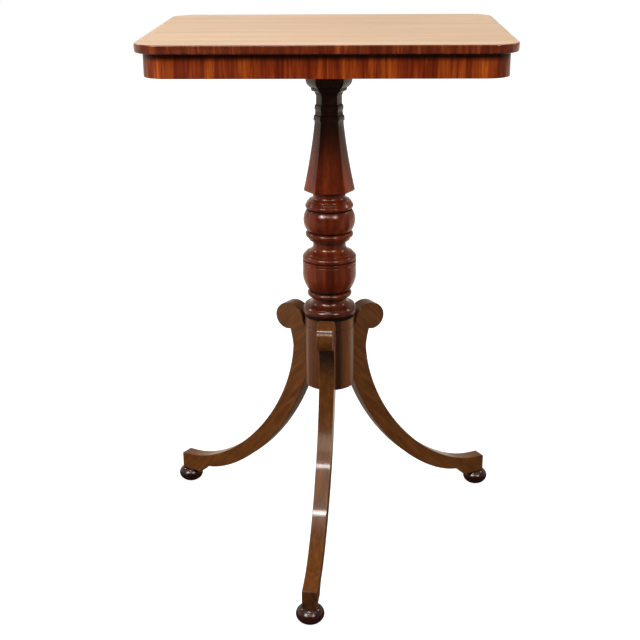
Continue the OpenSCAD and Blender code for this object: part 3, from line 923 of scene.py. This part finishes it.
# %% The tree that sets three round the pillar
def three_tree():
    tree, into, out = group_tree("Three round the pillar", "GeometryNodeTree", {
        "Geometry": ("NodeSocketGeometry", None),
        "Centre": ("NodeSocketVector", None),
        "Front turn": ("NodeSocketFloat", 0.0),
        "Right turn": ("NodeSocketFloat", 0.0),
        "Left turn": ("NodeSocketFloat", 0.0),
        "Aside": ("NodeSocketFloat", 0.0),
        "Finish": ("NodeSocketMaterial", None),
    }, {"Geometry": "NodeSocketGeometry"})
    beside = add(tree, "ShaderNodeCombineXYZ", {"Y": into.outputs["Aside"]})
    shifted = add(tree, "GeometryNodeTransform", {
        "Geometry": into.outputs["Geometry"], "Translation": beside.outputs[0]})
    spots = add(tree, "GeometryNodePoints", {"Count": 3, "Position": into.outputs["Centre"]})
    index = add(tree, "GeometryNodeInputIndex").outputs[0]
    own = add(tree, "GeometryNodeIndexSwitch", data_type="FLOAT")
    own.index_switch_items.new()
    for socket, value in zip(own.inputs, (index, into.outputs["Front turn"],
                                          into.outputs["Right turn"], into.outputs["Left turn"])):
        tree.links.new(value, socket)
    angle = combine(tree, "SUBTRACT", combine(
        tree, "MULTIPLY_ADD", index, 120.0, own.outputs[0]), 90.0)
    turn = add(tree, "ShaderNodeCombineXYZ", {"Z": combine(tree, "RADIANS", angle)})
    turned_to = add(tree, "FunctionNodeEulerToRotation", {0: turn.outputs[0]})
    three = add(tree, "GeometryNodeInstanceOnPoints", {
        "Points": spots.outputs[0], "Instance": shifted.outputs[0],
        "Rotation": turned_to.outputs[0]})
    end_tree(tree, three.outputs[0], into, out)
    return tree


THREE = three_tree()
LEG_TURNS = {"Front turn": -4.8, "Right turn": 0.0, "Left turn": -1.2}
ASIDE = 1.6


def set_three(obj, name, material, angle=SMOOTH_ANGLE):
    """Sets a piece that was made on the X axis three times round the pillar."""
    return crisp(made_by(THREE, obj, name, {
        "Centre": tuple(axis), "Aside": ASIDE * MM, "Finish": material, **LEG_TURNS}), angle)


print("three tree:", len(THREE.nodes), "nodes")

# %% [markdown]
# A sabre leg sweeps down from the hub in one long curve, and thickens to a square toe.
# At its head the front edge turns back into a round scroll with a brow behind it.
# Cubic curves draw the sweeps and arcs draw the scroll, as the solid's pattern does.

# %% The outline of a leg
FOOT_CIRCLE, BUN_R, BUN_H = 270.4, 19.0, 22.8
hub_low_mm, hub_r_mm = hub_low / MM, hub_r / MM


def curve(a, b, c, d, steps=36):
    """Points of a cubic curve from a to d, with handles b and c, without a."""
    points = []
    for i in range(1, steps + 1):
        t = i / steps
        s = 1 - t
        points.append(Vector(a) * s ** 3 + Vector(b) * 3 * s * s * t
                      + Vector(c) * 3 * s * t * t + Vector(d) * t ** 3)
    return points


def arc(middle, radius, a0, a1, steps):
    return [Vector(middle) + radius * Vector((math.cos(math.radians(a)), math.sin(math.radians(a))))
            for a in [a0 + (a1 - a0) * i / steps for i in range(steps + 1)]]


def leg_outline():
    """Side outline of a leg as (distance from the axis, height) in millimetres."""
    head, head_r, brow_r, brow = Vector((66.4, 324.8)), 19.2, 24.1, math.radians(35)
    brow_at = head - (brow_r - head_r) * Vector((math.cos(brow), math.sin(brow)))
    toe_end, toe_top, toe_round = FOOT_CIRCLE + 8.2, 50.0, 2.4
    step, pad_in = (FOOT_CIRCLE - 45.4, 37.3), FOOT_CIRCLE - 27.6
    neck, cusp = (56.1, 281.7), (60.9, 306.6)
    points = [Vector((hub_r_mm - 3, hub_low_mm)), Vector((hub_r_mm, hub_low_mm))]
    points += curve(points[-1], (72.1, 123.8), (165.1, 45.4), step)
    points += bow(step, (pad_in, BUN_H), -1.5, 6)
    points += [Vector((toe_end, BUN_H))]
    points += arc((toe_end - toe_round, toe_top - 0.5 - toe_round), toe_round, 0, 80, 5)
    points += curve((toe_end - toe_round, toe_top), (181, 42.5), (62.5, 167.3), neck)
    points += bow(neck, cusp, -0.5, 6)
    points += arc(head, head_r, -100, 35, 26)
    points += arc(brow_at, brow_r, 40, 180, 28)
    return points + [Vector((hub_r_mm - 3, head.y - 12))]


side_line = leg_outline()
print("leg outline:", len(side_line), "points")

# %% [markdown]
# A leg's arrises are only just broken with a file. A Bevel modifier would round the
# long curves' many small edges too. So the outline is drawn again a little inside
# itself, nearer the side face each time, and the rings are joined. The front edge
# stays flat for smooth shading, and so the lamps show in it as straight bars. A
# tongue on the inner edge goes into the hub.

# %% One leg
LEG_ARRIS = 0.9
FLAT_ANGLE = 14.0
TONGUE_MOUTH, TONGUE_ROOT, TONGUE_STOP = (hub_r_mm + 0.8, 4.6), (hub_r_mm - 13, 7.0), 22


def inset(points, distance):
    """The outline moved into the wood by distance."""
    moved = []
    count = len(points)
    for i, p in enumerate(points):
        before = (p - points[i - 1]).normalized()
        after = (points[(i + 1) % count] - p).normalized()
        inward = Vector((-(before.y + after.y), before.x + after.x))
        inward = inward.normalized() if inward.length > 1e-6 else Vector((-before.y, before.x))
        reach = distance / max(0.5, inward.dot(Vector((-before.y, before.x))))
        moved.append(p + inward * reach)
    return moved


def slab(name, points, half_width, arris, steps=3):
    """A sawn shape: an outline given a width, with its arrises rounded.
    half_width(z) is half the width at a height z."""
    rings = []
    for side in (-1, 1):
        for k in range(steps + 1):
            t = math.radians(90.0 * (k if side < 0 else steps - k) / steps)
            ring = inset(points, arris * (1 - math.sin(t)))
            rings.append([(p.x, side * (half_width(p.y) - arris * (1 - math.cos(t))), p.y)
                          for p in ring])
    return mesh_object(name, [(x * MM, y * MM, z * MM) for ring in rings for x, y, z in ring],
                       faces=skin(len(points), len(rings)))


def leg_half_width(z):
    """A leg is a little thicker at its scroll head than at its toe."""
    return 9.9 + 1.3 * (z - BUN_H) / 326.0


(mouth_x, mouth_y), (root_x, root_y) = TONGUE_MOUTH, TONGUE_ROOT
tongue = [(mouth_x, mouth_y), (root_x, root_y), (root_x, -root_y), (mouth_x, -mouth_y)]
leg_tongue = mesh_object("leg_tongue", [
    (x * MM, y * MM, z) for z in (hub_low, hub_top - TONGUE_STOP * MM) for x, y in tongue],
    faces=skin(len(tongue), 2))
leg = crisp(joined("leg", [slab("leg_body", side_line, leg_half_width, LEG_ARRIS), leg_tongue]),
            FLAT_ANGLE)

# %% [markdown]
# The legs' sawn edges are painted darker than their side faces, as painted shade: very
# dark below the scroll, in the scroll's shade, a little down the upper edge, and some on
# the end of the toe. The grain runs down the board that the leg was sawn from, which
# stood at a slant. Both are stored on the one leg before the tree makes three of it.

# %% Painted shade and grain of a leg
SCROLL_CUSP, TOE_TOP, EDGE_MARGIN = 309.0, 49.0, 0.3
BOARD_SLANT = 42.0


def painted_shade_on_edge(obj):
    """Stores how much painted shade lies on the sawn edges. The side faces have none."""
    def share(value, start, end):
        return min(1.0, max(0.0, (value - start) / (end - start)))

    wax_and_shade = []
    for vertex in obj.data.vertices:
        x, y, z = vertex.co / MM
        amount = 0.0
        # Painted shade under the scroll and down the front edge, and on the toe's end.
        if x > hub_r_mm + 6 and z < SCROLL_CUSP:
            amount = 0.22 * share(z, 150, 190) + 0.56 * share(z, 264, 284)
        if x > FOOT_CIRCLE + 7.4 and z < TOE_TOP:
            amount = max(amount, 0.35)
        wax_and_shade.append(amount if abs(y) < leg_half_width(z) - EDGE_MARGIN else 0.0)
    store(obj, "wax_and_shade", wax_and_shade)
    print("points in wax:", sum(w > 0.0 for w in wax_and_shade), "of", len(wax_and_shade))


def lay_grain(obj, degrees):
    """Stores coordinates whose Z runs along the sawn board."""
    turn = Matrix.Rotation(math.radians(degrees), 3, "Y")
    spots = obj.data.attributes.new("grain_at", "FLOAT_VECTOR", "POINT")
    for i, vertex in enumerate(obj.data.vertices):
        spots.data[i].vector = turn @ vertex.co


painted_shade_on_edge(leg)
lay_grain(leg, BOARD_SLANT)

# %% Three legs
legs = set_three(leg, "legs_dressed", LEG, FLAT_ANGLE)
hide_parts("leg_front", "leg_back_right", "leg_back_left")
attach(legs, "root")

# %% [markdown]
# A bun foot is a small turned ellipse, flat at the floor and under the toe. It has no
# path of its own to follow, so its outline is simply spun round Z.

# %% The feet
def spun(name, points, sides=64):
    """Turns an outline of (radius, height) in millimetres round Z, closed at both poles."""
    shape = bmesh.new()
    low = shape.verts.new((0, 0, points[0].y * MM))
    high = shape.verts.new((0, 0, points[-1].y * MM))
    rings = [[shape.verts.new((p.x * MM * math.cos(a), p.x * MM * math.sin(a), p.y * MM))
              for a in [2 * math.pi * k / sides for k in range(sides)]] for p in points]
    for k in range(sides):
        n = (k + 1) % sides
        shape.faces.new((low, rings[0][n], rings[0][k]))
        shape.faces.new((high, rings[-1][k], rings[-1][n]))
        for lower, upper in zip(rings, rings[1:]):
            shape.faces.new((lower[k], lower[n], upper[n], upper[k]))
    mesh = bpy.data.meshes.new(name)
    shape.to_mesh(mesh)
    shape.free()
    return link(bpy.data.objects.new(name, mesh))


def bun_outline(radius=BUN_R, height=BUN_H, steps=40, arris=0.3):
    waist, half = 0.53 * height, 0.6 * height
    a0, a1 = -math.asin(waist / half), math.asin((height - waist) / half)
    return eased([Vector((radius * math.cos(a), waist + half * math.sin(a)))
                  for a in [a0 + (a1 - a0) * k / steps for k in range(steps + 1)]], arris)


bun = spun("bun", bun_outline())
bun.data.transform(Matrix.Translation((FOOT_CIRCLE * MM, 0, 0)))
feet = set_three(bun, "feet_dressed", FOOT)
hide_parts("foot_front", "foot_back_right", "foot_back_left")
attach(feet, "root")

# %% [markdown]
# ## Hub
# The hub is a plain drum with three dovetail housings and one scribed line. The solid
# already has that shape, so a copy of it is merged and shades smoothly. The scribed
# line is darkened and dulled, and its points are those that lie just under the drum's surface.

# %% The hub
LINE_DEPTH, LINE_LEVELS = (0.1, 1.5), (10, 3)


def smooth_copy(node, name, material):
    obj = link(bpy.data.objects.new(name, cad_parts[node].data.copy()))
    obj.data.materials.clear()
    obj.data.materials.append(material)
    shape = bmesh.new()
    shape.from_mesh(obj.data)
    bmesh.ops.remove_doubles(shape, verts=shape.verts, dist=SAME_PLACE)
    bmesh.ops.dissolve_limit(shape, angle_limit=math.radians(0.5), verts=shape.verts,
                             edges=shape.edges)
    shape.to_mesh(obj.data)
    shape.free()
    return crisp(obj)


def in_scribed_line(spot):
    """1 for a point of the scribed line, and 0 for the others."""
    depth = (hub_r - math.hypot(spot.x - axis.x, spot.y - axis.y)) / MM
    inside = hub_low + LINE_LEVELS[0] * MM < spot.z < hub_top - LINE_LEVELS[1] * MM
    return 1.0 if inside and LINE_DEPTH[0] < depth < LINE_DEPTH[1] else 0.0


hub = smooth_copy("hub", "hub_dressed", HUB)
scribed = [in_scribed_line(vertex.co) for vertex in hub.data.vertices]
store(hub, "wax_and_shade", scribed)
print("points in the scribed line:", scribed.count(1.0), "of", len(scribed))
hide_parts("hub")
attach(hub, "root")

# %% [markdown]
# ## Screws
# Eight slotted screws hold the pillar's block to the top, on a square without its
# middle. Eight copies by hand would all have their slots in line. The tree takes a grid
# of nine points, drops the middle one, and turns every head by a seeded random amount.

# %% The tree that sets the screws
def screws_tree():
    tree, into, out = group_tree("Screws in a square", "GeometryNodeTree", {
        "Geometry": ("NodeSocketGeometry", None),
        "Spread": ("NodeSocketFloat", 0.062),
        "Centre": ("NodeSocketVector", None),
        "Finish": ("NodeSocketMaterial", None),
    }, {"Geometry": "NodeSocketGeometry"})
    span = times(tree, into.outputs["Spread"], 2.0)
    grid = add(tree, "GeometryNodeMeshGrid", {
        "Size X": span, "Size Y": span, "Vertices X": 3, "Vertices Y": 3})
    index = add(tree, "GeometryNodeInputIndex").outputs[0]
    middle = add(tree, "FunctionNodeCompare", {2: index, 3: 4}, data_type="INT", operation="EQUAL")
    rim = add(tree, "GeometryNodeDeleteGeometry", {
        "Geometry": grid.outputs[0], "Selection": middle.outputs[0]})
    slot_turn = add(tree, "FunctionNodeRandomValue", {2: 0.0, 3: math.pi, "Seed": 11},
                    data_type="FLOAT")
    upright = add(tree, "ShaderNodeCombineXYZ", {"Z": slot_turn.outputs[1]})
    facing = add(tree, "FunctionNodeEulerToRotation", {0: upright.outputs[0]})
    heads = add(tree, "GeometryNodeInstanceOnPoints", {
        "Points": rim.outputs[0], "Instance": into.outputs["Geometry"],
        "Rotation": facing.outputs[0]})
    placed = add(tree, "GeometryNodeTransform", {
        "Geometry": heads.outputs[0], "Translation": into.outputs["Centre"]})
    end_tree(tree, placed.outputs[0], into, out)
    return tree


SCREWS = screws_tree()
print("screws tree:", len(SCREWS.nodes), "nodes")

# %% [markdown]
# A screw's head looks down and is flush with the block. Two half discs leave the slot
# between them, on a thin disc that closes it.

# %% One screw, head down, and all eight
HEAD_R, SLOT_HALF, SLOT_DEPTH, HEAD_HEIGHT, HEAD_SIDES = 4.3, 0.55, 0.9, 2.4, 48
SCREW_SPREAD = 62


def screw_head():
    halves = [half_disc("half", HEAD_R, SLOT_HALF, 0.0, SLOT_DEPTH * MM, HEAD_SIDES // 2,
                        lambda across, along: (along * MM, side * across * MM))
              for side in (-1, 1)]
    disc = spun("disc", [Vector((HEAD_R, SLOT_DEPTH)), Vector((HEAD_R, HEAD_HEIGHT))], HEAD_SIDES)
    return crisp(joined("screw", halves + [disc]))


screws = crisp(made_by(SCREWS, screw_head(), "screws_dressed", {
    "Spread": SCREW_SPREAD * MM, "Centre": (axis.x, axis.y, block_lo.z), "Finish": STEEL}))
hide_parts("block_screws")
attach(screws, "root")

# %% [markdown]
# ## Plain boards
# The top's veneer, the rails, the blocks and the wedges are flat boards, and their
# solids are right as they are. Each only gets wood whose grain runs along it.

# %% Finish the boards
def finish(material, *names):
    for name in names:
        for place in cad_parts[name].material_slots:
            place.material = material
    print(material.name, "on", ", ".join(names))


finish(TOP, "top_veneer")
finish(INNER_LONG, "top_board", "frieze_rail_front", "frieze_rail_back", "glue_blocks",
       "pillar_block")
finish(INNER_DEEP, "frieze_rail_left", "frieze_rail_right")
finish(INNER_UP, "frieze_corner_front_left", "frieze_corner_front_right",
       "frieze_corner_back_left", "frieze_corner_back_right")
finish(WEDGE, "top_tenon_wedge", "hub_tenon_wedge")

# %% [markdown]
# ## Studio
# The table stands on a pale floor in a white studio. A real white room would wash out
# the deep polish, so the camera's rays see white, and the gloss sees a room of its own.
# In front its floor is dark, and behind and at the sides it is bright. From below, the
# floor is see-through, so that the underside can be looked at.

# %% Floor
WARM = (1.0, 0.9, 0.75, 1.0)
FLOOR_HALF, FLOOR_GREY, FLOOR_GLOW = 6.0, 0.3, 0.88


def floor():
    s = FLOOR_HALF
    obj = mesh_object("floor", [(-s, -s, 0), (s, -s, 0), (s, s, 0), (-s, s, 0)],
                      faces=[(0, 1, 2, 3)])
    material, tree = blank_material("floor")
    place = add(tree, "ShaderNodeTexCoord").outputs["Object"]
    path = add(tree, "ShaderNodeLightPath").outputs

    def along(letter, start, end, low, high):
        return rise(tree, component(tree, place, letter), start, end, low, high)

    matt = add(tree, "ShaderNodeBsdfDiffuse", {"Color": (FLOOR_GREY, FLOOR_GREY, FLOOR_GREY, 1)})
    glow = add(tree, "ShaderNodeEmission", {
        "Strength": times(tree, path["Is Camera Ray"], FLOOR_GLOW)})
    lit = add(tree, "ShaderNodeAddShader", {0: matt.outputs[0], 1: glow.outputs[0]})
    mirrored = add(tree, "ShaderNodeEmission", {"Color": WARM, "Strength": largest(
        tree, along("X", -0.4, -0.8, 0.03, 0.45), along("X", 0.4, 0.8, 0.03, 0.18),
        along("Y", 0.22, 0.45, 0.03, 0.9))})
    both = add(tree, "ShaderNodeMixShader", {
        0: path["Is Glossy Ray"], 1: lit.outputs[0], 2: mirrored.outputs[0]})
    under = add(tree, "ShaderNodeMixShader", {
        0: add(tree, "ShaderNodeNewGeometry").outputs["Backfacing"], 1: both.outputs[0],
        2: add(tree, "ShaderNodeBsdfTransparent").outputs[0]})
    add(tree, "ShaderNodeOutputMaterial", {"Surface": under.outputs[0]})
    obj.data.materials.append(material)
    return obj


print("floor:", tuple(floor().dimensions))

# %% [markdown]
# The world has three parts, and each ray sees one of them. The camera sees plain white.
# Gloss sees warm pale walls behind and beside the table, a ceiling, a bright band high
# up in front, and two soft boxes whose light is for gloss alone. What is left, the
# matt light, comes mostly from the two sides and from above, which keeps the front
# faces deep and the side faces bright, as in the photograph.

# %% World
LEFT_BOX, RIGHT_BOX = (-38, 36), (31, 34)
DIM = 0.04


def beam_to(azimuth, elevation):
    """The direction of a lamp. Azimuth 0 is straight in front, and positive is to the right."""
    a, e = math.radians(azimuth), math.radians(elevation)
    return Vector((math.sin(a) * math.cos(e), -math.cos(a) * math.cos(e), math.sin(e)))


def studio():
    world = bpy.data.worlds.new("studio")
    world.use_nodes = True
    bpy.context.scene.world = world
    tree = world.node_tree
    tree.nodes.clear()
    path = add(tree, "ShaderNodeLightPath").outputs
    toward = add(tree, "ShaderNodeTexCoord").outputs["Generated"]

    def along(letter, start, end, low=0.0, high=1.0):
        return rise(tree, component(tree, toward, letter), start, end, low, high)

    def soft_box(azimuth, elevation, inner, outer, strength):
        """A round glow, full inside the angle inner and gone outside the angle outer."""
        near = add(tree, "ShaderNodeVectorMath", {
            0: toward, 1: beam_to(azimuth, elevation)}, operation="DOT_PRODUCT").outputs["Value"]
        return rise(tree, near, math.cos(math.radians(outer)), math.cos(math.radians(inner)),
                    high=strength)

    walls = times(tree, along("Y", -0.5, 0.1), along("Z", 0.35, 0.75, 0.75, 0.12))
    walls = times(tree, walls, along("X", 0.5, -0.5, 0.55, 1.0))
    ceiling = times(tree, along("Z", 0.62, 0.72), along("Z", 0.985, 0.965))
    ceiling = times(tree, ceiling, along("Y", 0.05, -0.1, 0.0, 1.1))
    band = times(tree, along("Z", 0.5, 0.54), along("Z", 0.66, 0.62))
    band = times(tree, band, along("Y", -0.64, -0.68, 0.0, 4.4))
    room = largest(tree, walls, band, ceiling, soft_box(*LEFT_BOX, 6, 16, 15.0),
                   soft_box(31, 35, 5, 14, 11.0), DIM)
    wash = largest(tree, along("X", -0.75, -0.98, 0.05, 8.0), along("X", 0.75, 0.98, 0.05, 5.8),
                   along("Z", 0.6, 1.0, 0.0, 2.4))

    shown = largest(tree, path["Is Camera Ray"], path["Is Transmission Ray"])
    matt = combine(tree, "SUBTRACT", 1.0, largest(tree, shown, path["Is Glossy Ray"]))
    strength = combine(tree, "ADD", combine(
        tree, "ADD", shown, times(tree, path["Is Glossy Ray"], room)), times(tree, matt, wash))
    colour = mix(tree, path["Is Glossy Ray"], (1, 1, 1, 1), WARM)
    sky = add(tree, "ShaderNodeBackground", {"Color": colour, "Strength": strength})
    add(tree, "ShaderNodeOutputWorld", {"Surface": sky.outputs[0]})
    return world


print("world:", len(studio().node_tree.nodes), "nodes")

# %% [markdown]
# Six lamps add what the world can't: sharp shadows and highlights with edges. Two soft
# boxes in front shine on the rings. Two long strips lie square to the front leg, so
# that each gives one bright bar across it. Two boxes behind light the legs' sides.

# %% Lamps
LAMP_DISTANCE = 2.2
ON_TABLE, ON_LEG = (0.0, 0.05, 0.45), (-0.012, -0.08, 0.12)


def softbox(name, azimuth, elevation, width, height, power, lie=None, target=ON_TABLE):
    """A lamp. Its width lies along lie, in degrees from X, or square to its beam."""
    data = bpy.data.lights.new(name, "AREA")
    data.shape = "RECTANGLE"
    data.size, data.size_y = width, height
    data.energy = power
    lamp = link(bpy.data.objects.new(name, data))
    beam = beam_to(azimuth, elevation)
    lie = math.radians(azimuth if lie is None else lie)
    side = Vector((math.cos(lie), math.sin(lie), 0.0))
    side = (side - side.dot(beam) * beam).normalized()
    lamp.matrix_world = Matrix.Translation(Vector(target) + beam * LAMP_DISTANCE) \
        @ Matrix((side, beam.cross(side), beam)).transposed().to_4x4()
    print(f"{name}: {power} W")


across_leg = LEG_TURNS["Front turn"]
softbox("left_box", *LEFT_BOX, 0.32, 0.32, 9)
softbox("right_box", *RIGHT_BOX, 0.22, 0.22, 3)
softbox("low_strip", -15, 47.5, 0.6, 0.05, 4.5, lie=across_leg, target=ON_LEG)
softbox("high_strip", -20, 69, 0.6, 0.08, 8.5, lie=across_leg, target=ON_LEG)
softbox("back_left_box", -112, 34, 0.35, 0.35, 4)
softbox("back_right_box", 108, 34, 0.35, 0.35, 4)

# %% [markdown]
# ## View
# The colours are shown plainly.

# %% Finish
bpy.context.scene.view_settings.view_transform = "Standard"
